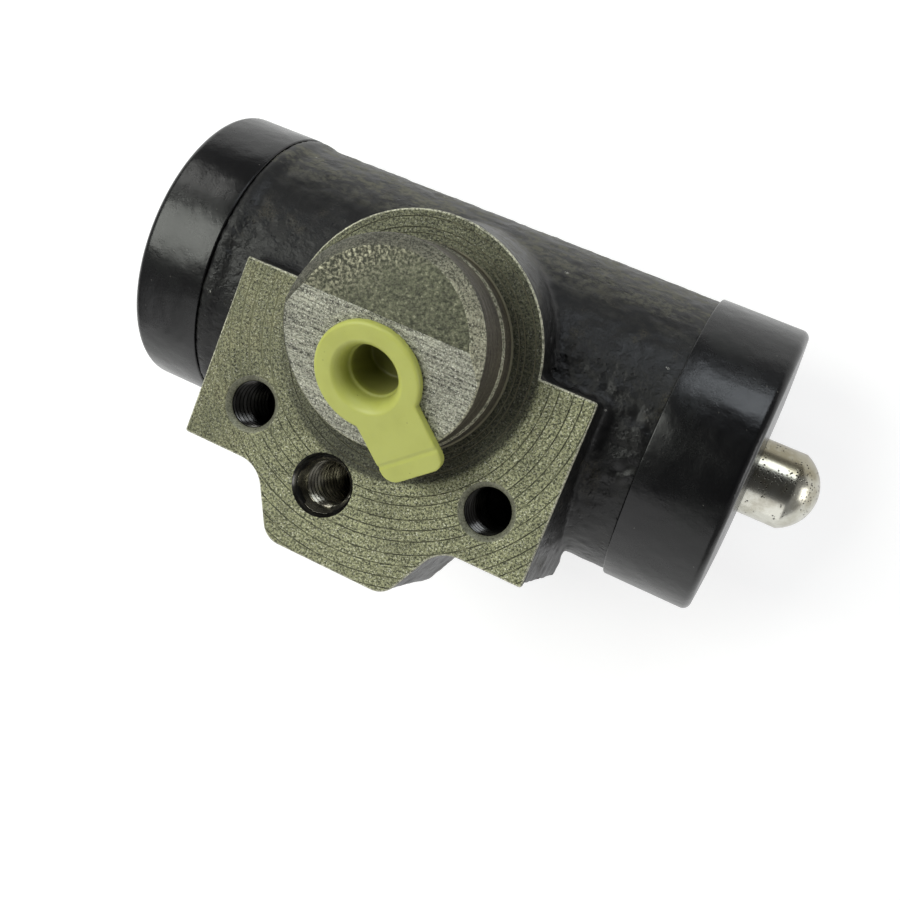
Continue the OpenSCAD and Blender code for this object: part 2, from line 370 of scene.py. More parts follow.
@dataclass(frozen=True)
class CastPaint:
    """Thin black paint over rough cast iron, nicked to bare metal, with dust and a painted sheen along the
    side towards +Y.
    """

    black: Colour = (0.0036, 0.0036, 0.0038)
    rubbed: Colour = (0.0115, 0.0115, 0.0112)
    # dust is the tint of real dust and also of the painted sheen along the side towards +Y.
    dust: Colour = (0.150, 0.145, 0.108)
    stain: Colour = (0.050, 0.044, 0.029)
    bare: Colour = (0.60, 0.59, 0.53)
    grain_depth: float = 0.15 * MM

    def build(self) -> Mat:
        """Makes the material.

        Returns:
            The material.
        """
        s = Shader.for_material("cast_paint")
        grain = s.noise(1.1, 5.0, 0.62)
        fine = s.noise(3.8, 3.0, 0.6)
        x, y, z = s.axes(s.point)
        under_pad = z.step(-12.0, -7.0) * s.noise(0.35, 3.0, 0.6).step(0.42, 0.56)
        patch = s.noise(0.10, 3.0, 0.6, warp=0.6).step(0.44, 0.64) + under_pad
        pits = s.cells(0.75).step(0.26, 0.08) * patch
        run = s.noise(1.0, 5.0, 0.62, at=s.joined(x * 0.24, y * 0.5, z * 0.5), warp=0.5)
        # Dust and painted sheen: the dust tint is laid along the barrel's side towards +Y, strongest near the
        # pad, where a grazing sheen shows, and only as a trace elsewhere.
        sheen_side = y.step(14.0, 21.5) * (0.25 + 0.75 * z.step(-42.0, -33.0))
        dust_and_sheen = run.step(0.40, 0.60) * grain.step(0.34, 0.60) * (0.03 + 0.97 * sheen_side)
        rubbed = run.step(0.48, 0.68) * fine.step(0.40, 0.62)
        stained = s.noise(0.16, 4.0, 0.62, at=s.scaled(s.point, (1, 1, 1), (40, 7, 3))).step(0.57, 0.70)
        nick = s.cells(0.17, s.scaled(s.point, (1.0, 2.2, 1.0))).step(0.075, 0.05) * fine.step(0.5, 0.58)
        colour = s.mix(rubbed * 0.8, self.black, self.rubbed)
        colour = s.mix(dust_and_sheen * 0.85, colour, self.dust)
        colour = s.mix(stained * fine.step(0.38, 0.62) * 0.7, colour, self.stain)
        colour = s.mix(nick, colour, self.bare)
        roughness = 0.30 + 0.18 * grain + 0.25 * dust_and_sheen + 0.1 * stained
        relief = grain * (0.15 + 0.75 * patch) + fine * 0.12 - pits * 0.4
        return s.surface(
            Base_Color=colour,
            Roughness=roughness,
            Metallic=nick * 0.6,
            Specular_IOR_Level=0.31,
            Normal=s.bump(relief, self.grain_depth),
        )


@dataclass(frozen=True)
class MachinedIron:
    """Cut iron with a thin olive film, marked by the tool that cut it, with painted shade on the ledge around
    the spigot and on one side of the face.
    """

    name: str
    marks: Marks
    light: Colour = (0.375, 0.380, 0.215)
    dark: Colour = (0.027, 0.029, 0.015)
    spark: Colour = (0.68, 0.68, 0.52)
    pit: Colour = (0.022, 0.021, 0.014)
    rust: Colour = (0.250, 0.185, 0.090)
    metal: float = 0.30
    roughness: float = 0.44
    speckle: float = 2.9
    contrast: float = 1.0
    streaky: float = 0.2
    # ledge and the far side factor are painted shade: ledge darkens the ring around the spigot (first on the
    # side towards far_way, then on the other side), and the far side factor darkens the face outside it
    # towards far_way.
    ledge: Pair = (1.0, 1.0)
    far_side: float = 1.0
    far_way: Pair = (-1.0, 0.6)
    far_from: float = -6.0
    far_to: float = 10.0
    rusty: float = 0.0
    depth: float = 0.08 * MM

    def build(self) -> Mat:
        """Makes the material.

        Returns:
            The material.
        """
        s = Shader.for_material(self.name)
        grain = s.noise(self.speckle, 4.0, 0.84)
        aside = s.scaled(s.point, (1, 1, 1), (11, 5, 2))
        spark = s.noise(self.speckle * 1.5, 2.0, 0.5, at=aside).step(0.57, 0.70)
        specks = s.cells(self.speckle * 0.45).step(0.22, 0.10) * s.noise(0.3, 2.0).step(0.42, 0.60)
        cloud = s.noise(0.14, 4.0, 0.72)
        streak = self._streaks(s)
        tone = grain.step(0.43, 0.57) * (1.0 - self.streaky) + streak * self.streaky
        colour = s.mix(tone, self.dark, self.light)
        colour = s.mix(spark * (0.85 * self.contrast), colour, self.spark)
        if self.rusty:
            x, _, _ = s.axes(s.point)
            colour = s.mix(cloud.step(0.40, 0.60) * x.step(-15.0, -22.0) * self.rusty, colour, self.rust)
        # Random blotches, times the painted shade from _shadow.
        colour = s.shade(colour, (0.35 + 1.35 * cloud) * self._shadow(s))
        colour = s.mix(specks * 0.85, colour, self.pit)
        roughness = self.roughness + 0.22 * (1 - tone) - 0.1 * spark
        relief = grain * 0.6 + streak * self.streaky + spark * 0.3 - specks * 0.7
        return s.surface(
            Base_Color=colour,
            Metallic=self.metal,
            Roughness=roughness,
            Normal=s.bump(relief, self.depth),
        )

    def _shadow(self, s: Shader) -> Sock:
        """The painted shade: how much darker the ledge around the spigot and one side of a face are made.

        Args:
            s: The shader being made.

        Returns:
            The factor on the colour.
        """
        x, y, _ = s.axes(s.point)
        inner = ((x * x + y * y) ** 0.5).step(19.9, 18.9)
        far = (x * self.far_way[0] + y * self.far_way[1]).step(self.far_from, self.far_to)
        outside = 1.0 - (1.0 - self.far_side) * far
        inside = self.ledge[1] + (self.ledge[0] - self.ledge[1]) * far
        return outside + inner * (inside - outside)

    def _streaks(self, s: Shader) -> Sock:
        """The fine streaks that the tool left.

        Args:
            s: The shader being made.

        Returns:
            The streaks, from 0 to 1.
        """
        x, y, z = s.axes(s.point)
        turn = s.maths("ARCTAN2", y, x)
        if self.marks is Marks.TURNED:
            radius = (x * x + y * y) ** 0.5
            place = s.joined(radius * 2.6, turn * 7.0, 0.0)
        elif self.marks is Marks.MILLED:
            place = s.joined(x * 0.11, y * 3.0, z * 3.0)
        elif self.marks is Marks.WALL:
            place = s.joined(turn * 2.0, z * 2.6, 0.0)
        else:
            place = s.scaled(s.point, (1.4, 1.4, 1.4), (3, 9, 5))
        return s.noise(1.0, 3.0, 0.65, at=place).step(0.37, 0.63)


@dataclass(frozen=True)
class StippledTop:
    """The spigot's top: coarse bright stipple on one side, scuffed olive on the rest."""

    cream: Colour = (0.50, 0.48, 0.34)
    olive: Colour = (0.135, 0.142, 0.084)
    dark: Colour = (0.020, 0.021, 0.012)
    bright_way: Pair = (-0.62, 0.78)
    bright_from: float = 6.0
    bright_to: float = 12.0

    def build(self) -> Mat:
        """Makes the material.

        Returns:
            The material.
        """
        s = Shader.for_material("stippled_top")
        x, y, _ = s.axes(s.point)
        wander = s.noise(0.3, 3.0, 0.6) * 5.0 - 2.5
        lean = x * self.bright_way[0] + y * self.bright_way[1] + wander
        side = lean.step(self.bright_from, self.bright_to)
        stipple = s.noise(2.3, 3.0, 0.62).step(0.40, 0.66)
        grain = s.noise(1.9, 4.0, 0.80)
        scuff = s.noise(1.0, 4.0, 0.65, at=s.joined(x * 0.9 + y * 0.7, y * 2.6 - x * 1.4, 0.0))
        flat = s.mix(grain.step(0.43, 0.57) * 0.6 + scuff.step(0.40, 0.60) * 0.4, self.dark, self.olive)
        flat = s.mix(grain.step(0.57, 0.68) * 0.48, flat, self.cream)
        rough_side = s.mix(stipple, self.dark, self.cream)
        colour = s.mix(0.10 + 0.72 * side, flat, rough_side)
        relief = stipple * side + grain * 0.35 + scuff * 0.25
        return s.surface(
            Base_Color=colour,
            Metallic=0.3,
            Roughness=0.62 - 0.16 * stipple * side,
            Normal=s.bump(relief, 0.10 * MM),
        )


@dataclass(frozen=True)
class TurnedGroove:
    """The turning tool's ring marks: dark in places and paler towards one side; on the ledge around the
    spigot the paler right side is a painted highlight.
    """

    name: str = "turned_groove"
    dirt: Colour = (0.050, 0.050, 0.030)
    worn: Colour = (0.230, 0.230, 0.138)
    clean_way: Pair = (-0.80, 0.60)

    def build(self) -> Mat:
        """Makes the material.

        Returns:
            The material.
        """
        s = Shader.for_material(self.name)
        x, y, _ = s.axes(s.point)
        broken = s.noise(0.6, 5.0, 0.75)
        # Paler towards one side; on the ledge around the spigot this is a painted highlight on the right.
        side = (x * self.clean_way[0] + y * self.clean_way[1]).step(-6.0, 14.0)
        pale_share = (broken + 0.30 * side).step(0.44, 0.66)
        return s.surface(
            Base_Color=s.mix(pale_share, self.dirt, self.worn),
            Metallic=0.3,
            Roughness=0.55 + 0.2 * broken,
            Normal=s.bump(s.noise(3.0, 3.0), 0.03 * MM),
        )


@dataclass(frozen=True)
class BootRubber:
    """Moulded black rubber with a soft shine and faint handling marks."""

    black: Colour = (0.0024, 0.0024, 0.0028)
    bloom: Colour = (0.0095, 0.0108, 0.0096)
    dust: Colour = (0.15, 0.145, 0.13)

    def build(self) -> Mat:
        """Makes the material.

        Returns:
            The material.
        """
        s = Shader.for_material("boot_rubber")
        cloud = s.noise(0.09, 3.0, 0.55, warp=0.4)
        fine = s.noise(2.4, 4.0, 0.6)
        speck = s.cells(0.36).step(0.05, 0.03)
        colour = s.mix(cloud.step(0.45, 0.75) * 0.45, self.black, self.bloom)
        colour = s.mix(speck * 0.4, colour, self.dust)
        roughness = 0.10 + 0.26 * cloud + 0.07 * fine
        dents = s.noise(0.20, 2.0, 0.5)
        relief = fine * 0.10 + dents * 0.90
        return s.surface(
            Base_Color=colour,
            Roughness=roughness,
            Specular_IOR_Level=0.38,
            Normal=s.bump(relief, 0.22 * MM),
        )


@dataclass(frozen=True)
class PlatedSteel:
    """Bright plated steel with small dark pits, turning lines and tarnish, and a painted darker reflection on
    the side towards +Y and along the highlight's band.
    """

    name: str = "plated_steel"
    bright: Colour = (0.58, 0.575, 0.515)
    # The colour of the tarnish and of the painted dimmer reflection.
    tarnish: Colour = (0.27, 0.245, 0.175)
    pit: Colour = (0.030, 0.026, 0.022)
    roughness: float = 0.17

    def build(self) -> Mat:
        """Makes the material.

        Returns:
            The material.
        """
        s = Shader.for_material(self.name)
        x, y, _ = s.axes(s.point)
        cloud = s.noise(0.35, 4.0, 0.6)
        highlight_band = y.step(-1.5, 0.6) * y.step(4.6, 3.0)
        crowded = s.noise(0.4, 2.0) + 0.09 * highlight_band
        pits = s.cells(2.0).step(0.34, 0.18) * crowded.step(0.52, 0.58)
        rings = s.noise(1.0, 3.0, 0.6, at=s.joined(x * 4.0, 0.0, 0.0))
        # Real tarnish in clouds, plus painted reflection: the side towards +Y is darkened for the dim
        # surroundings that it mirrors, and the band where the highlight falls is dimmed.
        stained = cloud.step(0.40, 0.72) * 0.5 + y.step(2.6, 4.2) * 0.8 + highlight_band * 0.4
        colour = s.mix(stained, self.bright, self.tarnish)
        colour = s.mix(pits, colour, self.pit)
        roughness = self.roughness + 0.14 * cloud + 0.3 * pits
        relief = rings * 0.25 - pits
        return s.surface(
            Base_Color=colour,
            Metallic=1.0,
            Roughness=roughness,
            Normal=s.bump(relief, 0.025 * MM),
        )


@dataclass(frozen=True)
class PlugPlastic:
    """Soft moulded plastic in pale yellow-green, with painted shade darkening it down inside its hollow."""

    port: PortAxis
    tint: Colour = (0.475, 0.50, 0.118)
    shadow: Colour = (0.375, 0.39, 0.078)
    deep: Colour = (0.180, 0.180, 0.050)
    scuff: Colour = (0.13, 0.12, 0.045)

    def build(self) -> Mat:
        """Makes the material.

        Returns:
            The material.
        """
        s = Shader.for_material("plug_plastic")
        cloud = s.noise(0.25, 3.0, 0.5)
        fine = s.noise(3.0, 3.0, 0.6)
        scuff = s.cells(0.5).step(0.06, 0.03)
        _, y, z = s.axes(s.point)
        foot, way = self.port.foot / MM, self.port.way
        above = (y - foot.y) * way.y + (z - foot.z) * way.z
        colour = s.mix(cloud.step(0.4, 0.75) * 0.35, self.tint, self.shadow)
        # Painted shade: the plastic darkens down the port, inside the plug's hollow.
        colour = s.mix(above.step(-0.2, -3.2) * 0.9, colour, self.deep)
        colour = s.mix(scuff * 0.5, colour, self.scuff)
        return s.surface(
            Base_Color=colour,
            Roughness=0.36 + 0.16 * fine,
            Subsurface_Weight=0.25,
            Subsurface_Radius=(0.9, 0.9, 0.25),
            Subsurface_Scale=1.2 * MM,
            Normal=s.bump(fine * 0.5 + cloud * 0.5, 0.03 * MM),
        )


@dataclass(frozen=True)
class OiledThread:
    """Tapped thread with oil, its colours set as painted light: nearly black in the port and the mounting
    holes as painted shade, bright in the bleed hole as a painted highlight.
    """

    name: str
    steel: Colour
    oil: Colour

    def build(self) -> Mat:
        """Makes the material.

        Returns:
            The material.
        """
        s = Shader.for_material(self.name)
        cloud = s.noise(0.5, 3.0, 0.5)
        colour = s.mix(cloud.step(0.35, 0.65), self.oil, self.steel)
        return s.surface(
            Base_Color=colour,
            Metallic=0.9,
            Roughness=0.15 + 0.12 * cloud,
            Normal=s.bump(s.noise(3.0, 3.0), 0.005 * MM),
        )


@dataclass(frozen=True)
class PistonAlloy:
    """Turned light alloy."""

    alloy: Colour = (0.56, 0.57, 0.58)

    def build(self) -> Mat:
        """Makes the material.

        Returns:
            The material.
        """
        s = Shader.for_material("piston_alloy")
        x, _, _ = s.axes(s.point)
        rings = s.noise(1.0, 3.0, 0.6, at=s.joined(x * 5.0, 0.0, 0.0))
        colour = s.shade(self.alloy, 0.8 + 0.25 * rings)
        return s.surface(
            Base_Color=colour,
            Metallic=1.0,
            Roughness=0.28 + 0.12 * rings,
            Normal=s.bump(rings, 0.02 * MM),
        )


class Finishes:
    """Every finish of the object, each made once."""

    def __init__(self, port: PortAxis) -> None:
        """Makes the materials, with the plug's shaded down the port.

        Args:
            port: The inlet port's axis.
        """
        self.paint = CastPaint().build()
        # Painted shade: the ledge around the spigot is darkened, most on its right where the spigot's shadow
        # falls, and the pad's left side is darkened too.
        self.pad = MachinedIron(
            "turned_pad", Marks.TURNED, ledge=(0.44, 0.25), far_side=0.66, rusty=0.12
        ).build()
        self.groove = TurnedGroove().build()
        # Painted highlight: the ledge's ring marks and the spigot's foot are made paler towards +X, where the
        # groove flanks catch the light.
        self.ledge_ring = TurnedGroove(
            "ledge_ring", dirt=(0.040, 0.039, 0.025), worn=(0.165, 0.153, 0.098), clean_way=(1.0, 0.0)
        ).build()
        self.crescent = StippledTop().build()
        self.milled = MachinedIron(
            "milled_face",
            Marks.MILLED,
            light=(0.50, 0.50, 0.400),
            dark=(0.034, 0.034, 0.026),
            spark=(0.76, 0.76, 0.66),
            contrast=1.1,
            streaky=0.42,
        ).build()
        # Painted shade: the wall is darkened towards its lower side (towards -Y).
        self.wall = MachinedIron(
            "turned_wall",
            Marks.WALL,
            light=(0.105, 0.090, 0.060),
            dark=(0.022, 0.019, 0.014),
            spark=(0.17, 0.155, 0.115),
            contrast=0.5,
            streaky=0.6,
            ledge=(0.42, 1.0),
            far_way=(0.0, -1.0),
            far_from=3.0,
            far_to=12.0,
        ).build()
        # Painted light: the chamfer is darkened towards its upper left and stays bright cream on its right,
        # as its shaded and lit sides.
        self.chamfer = MachinedIron(
            "spigot_chamfer",
            Marks.WALL,
            light=(0.48, 0.465, 0.335),
            dark=(0.07, 0.07, 0.046),
            ledge=(0.30, 1.0),
        ).build()
        self.mouth = MachinedIron(
            "hole_mouth",
            Marks.STIPPLED,
            light=(0.24, 0.24, 0.17),
            dark=(0.12, 0.12, 0.085),
            spark=(0.40, 0.40, 0.31),
            contrast=0.4,
            depth=0.02 * MM,
        ).build()
        self.edge = MachinedIron(
            "bright_edge", Marks.STIPPLED, light=(0.62, 0.61, 0.46), dark=(0.10, 0.10, 0.07)
        ).build()
        self.rubber = BootRubber().build()
        self.steel = PlatedSteel().build()
        self.plastic = PlugPlastic(port).build()
        # Painted shade: the thread and the walls inside the port and the holes are made nearly black.
        self.thread = OiledThread("oiled_thread", (0.085, 0.083, 0.078), (0.040, 0.039, 0.036)).build()
        # Painted highlight: the bleed hole's thread is made bright, for the gleam on its flanks.
        self.bleed_thread = OiledThread("bleed_thread", (0.50, 0.48, 0.40), (0.17, 0.16, 0.13)).build()
        self.alloy = PistonAlloy().build()


class Bench:
    """Modelling moves made with Blender's operators, on one object at a time."""

    @staticmethod
    def pick(obj: Obj) -> None:
        """Selects one object alone and makes it active.

        Args:
            obj: The object.
        """
        if bpy.context.mode != "OBJECT":
            bpy.ops.object.mode_set(mode="OBJECT")
        bpy.ops.object.select_all(action="DESELECT")
        obj.select_set(True)
        bpy.context.view_layer.objects.active = obj

    @classmethod
    def copy_of(cls, node: Obj, name: str) -> Obj:
        """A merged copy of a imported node's mesh, as an object of its own.

        Args:
            node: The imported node.
            name: The new object's name.

        Returns:
            The new object.
        """
        obj = bpy.data.objects.new(name, node.data.copy())
        bpy.context.scene.collection.objects.link(obj)
        obj.data.materials.clear()
        cls.pick(obj)
        bpy.ops.mesh.customdata_custom_splitnormals_clear()
        with Editing(obj):
            bpy.ops.mesh.remove_doubles(threshold=MERGE)
        return obj

    @classmethod
    def drawn(cls, name: str, points: Sequence[Point]) -> Obj:
        """Draws a line from point to point by extruding one vertex.

        Args:
            name: The new object's name.
            points: The places that the line goes through.

        Returns:
            The new object, with its place in its mesh.
        """
        bpy.ops.object.select_all(action="DESELECT")
        bpy.ops.mesh.primitive_plane_add(size=MM, location=points[0])
        obj = bpy.context.active_object
        obj.name = name
        obj.data.name = name
        with Editing(obj):
            bpy.ops.mesh.merge(type="CENTER")
            for start, end in zip(points, points[1:]):
                stride = tuple(b - a for a, b in zip(start, end))
                bpy.ops.mesh.extrude_vertices_move(TRANSFORM_OT_translate={"value": stride})
        cls.settle(obj)
        return obj

    @classmethod
    def revolved(cls, name: str, points: Sequence[Point], centre: Point, axis: Point, steps: int) -> Obj:
        """Spins a closed line once about an axis.

        Args:
            name: The new object's name.
            points: The places that the line goes through; a ring's line ends where it starts.
            centre: A point on the axis.
            axis: The axis's direction.
            steps: Faces around the axis.

        Returns:
            The closed piece.
        """
        obj = cls.drawn(name, points)
        with Editing(obj):
            bpy.ops.mesh.remove_doubles(threshold=MERGE)
            bpy.ops.mesh.select_all(action="SELECT")
            bpy.ops.mesh.spin(steps=steps, angle=math.tau, center=centre, axis=axis)
            bpy.ops.mesh.select_all(action="SELECT")
            bpy.ops.mesh.remove_doubles(threshold=MERGE)
            bpy.ops.mesh.normals_make_consistent(inside=False)
        return obj

    @classmethod
    def settle(cls, obj: Obj) -> None:
        """Moves an object's place into its mesh."""
        cls.pick(obj)
        bpy.ops.object.transform_apply(location=True, rotation=True, scale=True)

    @classmethod
    def apply(cls, obj: Obj, kind: str, **settings: Any) -> None:
        """Adds a modifier, sets it and applies it.

        Args:
            obj: The object.
            kind: The modifier's type.
            settings: Its settings by name.
        """
        cls.pick(obj)
        bpy.ops.object.modifier_add(type=kind)
        modifier = obj.modifiers[-1]
        for key, value in settings.items():
            setattr(modifier, key, value)
        bpy.ops.object.modifier_apply(modifier=modifier.name)

    @classmethod
    def carve(cls, obj: Obj, cutter: Obj, **settings: Any) -> None:
        """Takes a cutter's shape out of an object and removes the cutter."""
        cls.apply(obj, "BOOLEAN", operation="DIFFERENCE", solver="EXACT", object=cutter, **settings)
        bpy.data.objects.remove(cutter)

    @classmethod
    def remesh(cls, obj: Obj, voxel: float, passes: int = 3) -> None:
        """Rebuilds an object from cubes of one size and smooths it, pass by pass."""
        cls.apply(obj, "REMESH", mode="VOXEL", voxel_size=voxel)
        cls.apply(obj, "SMOOTH", factor=0.5, iterations=passes)

    @classmethod
    def cut(cls, obj: Obj, at: Point, way: Point, keep_ahead: bool, close: bool = True) -> None:
        """Cuts an object by a plane and keeps one side.

        Args:
            obj: The object.
            at: A point of the plane.
            way: The plane's normal.
            keep_ahead: Whether the side that the normal points to stays, or the other one.
            close: Whether the cut is filled.
        """
        with Editing(obj):
            bpy.ops.mesh.bisect(
                plane_co=at,
                plane_no=way,
                use_fill=close,
                clear_inner=keep_ahead,
                clear_outer=not keep_ahead,
            )
            bpy.ops.mesh.select_all(action="SELECT")
            bpy.ops.mesh.delete_loose()

    @classmethod
    def joined(cls, pieces: Sequence[Obj]) -> Obj:
        """Joins objects into the first of them.

        Args:
            pieces: The objects.

        Returns:
            The first object, which holds them all.
        """
        cls.pick(pieces[0])
        for piece in pieces:
            piece.select_set(True)
        bpy.ops.object.join()
        return pieces[0]

    @classmethod
    def smooth(cls, obj: Obj, degrees: float) -> None:
        """Shades an object smooth where its faces meet below an angle."""
        cls.pick(obj)
        bpy.ops.object.shade_smooth_by_angle(angle=math.radians(degrees))

    @classmethod
    def coat(cls, obj: Obj, material: Mat, degrees: float) -> None:
        """Gives an object its one material, and shades it smooth below an angle."""
        obj.data.materials.append(material)
        cls.smooth(obj, degrees)

    @staticmethod
    def select_vertices(obj: Obj, test: Callable[[Vector], bool]) -> None:
        """Selects the vertices whose place passes a test, in object mode.

        Args:
            obj: The object.
            test: Whether a place is wanted.
        """
        mesh = obj.data
        mesh.polygons.foreach_set("select", [False] * len(mesh.polygons))
        mesh.edges.foreach_set("select", [False] * len(mesh.edges))
        mesh.vertices.foreach_set("select", [test(v.co) for v in mesh.vertices])


class Editing:
    """Edit mode on one object, with everything selected at the start."""

    def __init__(self, obj: Obj, select_all: bool = True) -> None:
        """Keeps the object and whether all of it is selected first."""
        self.obj = obj
        self.select_all = select_all

    def __enter__(self) -> Obj:
        """Enters edit mode.

        Returns:
            The object.
        """
        Bench.pick(self.obj)
        bpy.ops.object.mode_set(mode="EDIT")
        if self.select_all:
            bpy.ops.mesh.select_all(action="SELECT")
        return self.obj

    def __exit__(self, *_: Any) -> None:
        """Goes back to object mode."""
        bpy.ops.object.mode_set(mode="OBJECT")


def arc(centre: Pair, radius: float, start: float, end: float, steps: int) -> list[Pair]:
    """Points of a round corner.

    Args:
        centre: The corner's centre.
        radius: Its radius.
        start: The first point's angle in degrees.
        end: The last point's angle in degrees.
        steps: How many pieces it is drawn in.

    Returns:
        The points, both ends included.
    """
    turns = [math.radians(start + (end - start) * i / steps) for i in range(steps + 1)]
    return [(centre[0] + radius * math.cos(a), centre[1] + radius * math.sin(a)) for a in turns]


def dress(obj: Obj, body: str, slot: str, *nodes: str) -> None:
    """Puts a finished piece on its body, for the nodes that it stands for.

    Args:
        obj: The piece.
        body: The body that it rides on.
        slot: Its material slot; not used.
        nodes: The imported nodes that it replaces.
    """
    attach(obj, body)
    if nodes:
        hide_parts(*nodes)
    LOG.info("%s: %d faces on %s", obj.name, len(obj.data.polygons), body)


@dataclass(frozen=True)
class TappedHole:
    """One tapped hole in the mounting pad."""

    name: str
    x: float
    y: float
    minor: float
    start: float
    depth: float


@dataclass
class Casting:
    """The iron casting: rough painted skin, machined pad and spigot, and tapped threads."""

    frame: dict[str, Any]
    finishes: Finishes
    skin_top: float = -0.3 * MM
    plate_bottom: float = -1.0 * MM
    voxel: float = 0.6 * MM
    barrel_r: float = 20.9 * MM
    boot_gap: float = 0.6 * MM
    smooth_end: float = 3.0 * MM
    lumps: Pair = (6.0 * MM, 0.22 * MM)
    grit: Pair = (1.6 * MM, 0.30 * MM)
    scabs: Pair = (1.3 * MM, 1.7 * MM)
    scab_ease: float = 0.7
    flat_angle: float = math.radians(0.5)
    bevel: float = 0.26 * MM
    bevel_angle: float = math.radians(32)
    spigot_foot: float = 0.2 * MM
    spigot_reach: float = 15.5 * MM
    foot_reach: float = 16.0 * MM
    port_reach: float = 9.0 * MM
    hole_reach: float = 5.0 * MM
    port_tilt: float = math.radians(25)
    port_level: float = 0.995
    crescent_level: float = 0.98
    pad_level: float = 0.95
    chamfer_level: float = 0.3
    edge_level: float = 0.25
    pitch: float = 1.25 * MM
    pad_thread: float = 12.8 * MM
    bleed_mouth: float = 1.3 * MM
    bleed_mouth_depth: float = 2.6 * MM
    cone_lap: float = 0.05 * MM
    cone_steps: int = 64
    thread_end: float = 1.2 * MM
    thread_depth: float = 0.62 * MM
    thread_shape: tuple[Pair, ...] = ((0, 0.0), (0, 0.14), (1, 0.46), (1, 0.56), (0, 0.88), (0, 1.0))
    thread_steps: int = 40
    thread_merge: float = 0.002 * MM
    sleeve_wall: float = 0.2 * MM
    sleeve_gap: float = 0.1 * MM
    lap: float = 0.02 * MM
    wall_slack: float = 0.08 * MM
    wall_top: float = -0.5 * MM
    ring_steps: int = 180
    ring_radii_mm: tuple[float, ...] = (21.1, 22.4, 24.4, 25.9, 27.5, 29.4, 31.0, 32.8, 34.4, 36.2)
    ring_width: float = 0.17 * MM
    ring_depth: float = 0.07 * MM
    boss_rings: tuple[float, ...] = (15.9 * MM, 16.7 * MM, 18.2 * MM)
    boss_ring_width: float = 0.13 * MM
    boss_ring_depth: float = 0.07 * MM
    crusts: tuple[tuple[Point, float], ...] = (
        ((0.0195, 0.0060, -0.0068), 5.5 * MM),
        ((0.0250, 0.0045, -0.0064), 4.5 * MM),
        ((0.0335, 0.0010, -0.0060), 5.0 * MM),
        ((0.0330, -0.0040, -0.0063), 4.0 * MM),
        ((-0.0338, 0.0022, -0.0061), 4.0 * MM),
    )
    node: Obj = field(init=False)
    holes: list[TappedHole] = field(init=False)

    def __post_init__(self) -> None:
        """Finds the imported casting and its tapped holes."""
        self.node = self.frame["nodes"]["cylinder_body"]
        self.holes = self._tapped()

    def _tapped(self) -> list[TappedHole]:
        """The three tapped holes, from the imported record's mounts.

        Returns:
            The right and the left mounting hole, and the bleed hole.
        """
        mounts = {m["name"]: m for m in self.frame["record"]["mounts"]}
        pair = mounts["bolt_holes"]
        half = pair["dims"]["spacing_x_mm"] * MM / 2
        minor = pair["dims"]["hole_r_mm"] * MM
        middle, row = pair["pos_m"][:2]
        bleed = mounts["bleed_port"]
        bleed_x, bleed_y = bleed["pos_m"][:2]
        bleed_minor = bleed["dims"]["r_mm"] * MM
        bleed_start = -self.bleed_mouth_depth
        bleed_run = bleed["dims"]["length_mm"] * MM - self.thread_end
        top = self.plate_bottom + self.lap
        return [
            TappedHole("right_thread", middle + half, row, minor, top, self.pad_thread),
            TappedHole("left_thread", middle - half, row, minor, top, self.pad_thread),
            TappedHole("bleed_thread", bleed_x, bleed_y, bleed_minor, bleed_start, bleed_run),
        ]

    def build(self) -> None:
        """Makes the skin, the machined faces and the threads."""
        self._skin()
        self._machined()
        for hole in self.holes:
            self._thread(hole)

    def _skin(self) -> None:
        """The rough cast skin, below the machined face."""
        skin = Bench.copy_of(self.node, "casting_skin")
        for hole in self.holes:
            self._widen(skin, hole)
        Bench.cut(skin, (0.0, 0.0, self.skin_top), UP, keep_ahead=False)
        Bench.remesh(skin, self.voxel)
        self._roughen(skin)
        Bench.coat(skin, self.finishes.paint, degrees=60)
        dress(skin, "casting", "cast_iron", "cylinder_body")

    def _room(self, hole: TappedHole) -> float:
        """The radius that a hole in the skin is opened to."""
        return hole.minor + self.thread_depth + self.sleeve_wall + self.sleeve_gap

    def _widen(self, skin: Obj, hole: TappedHole) -> None:
        """Opens a hole in the skin to take its thread.

        Args:
            skin: The casting's skin.
            hole: The tapped hole.
        """
        factor = self._room(hole) / hole.minor

        def on_wall(co: Vector) -> bool:
            """Whether a vertex lies on the hole's wall."""
            reach = math.hypot(co.x - hole.x, co.y - hole.y)
            return abs(reach - hole.minor) < self.wall_slack and co.z < self.wall_top

        Bench.pick(skin)
        Bench.select_vertices(skin, on_wall)
        with Editing(skin, select_all=False):
            bpy.ops.transform.resize(value=(factor, factor, 1.0), center_override=(hole.x, hole.y, 0.0))

    def _roughen(self, skin: Obj) -> None:
        """Gives the outside of the skin the lumps of a sand casting.

        Args:
            skin: The casting's skin.
        """
        low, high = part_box("right_boot")
        axis_z = (low.z + high.z) / 2
        barrel_end = low.x - self.boot_gap
        outside_name, crust_name = "outside", "crust"
        outside = skin.vertex_groups.new(name=outside_name)
        crust = skin.vertex_groups.new(name=crust_name)
        for vertex in skin.data.vertices:
            co = vertex.co
            reach = math.hypot(co.y, co.z - axis_z)
            inset = barrel_end - abs(co.x)
            if reach > self.barrel_r and inset > 0.0:
                outside.add([vertex.index], min(1.0, inset / self.smooth_end), "REPLACE")
                weight = max(1.0 - (co - Vector(at)).length / size for at, size in self.crusts)
                if weight > 0.0:
                    crust.add([vertex.index], weight ** self.scab_ease, "REPLACE")
        self._swell(skin, "lumps", *self.lumps, outside_name)
        self._swell(skin, "grit", *self.grit, outside_name)
        self._swell(skin, "scabs", *self.scabs, crust_name)

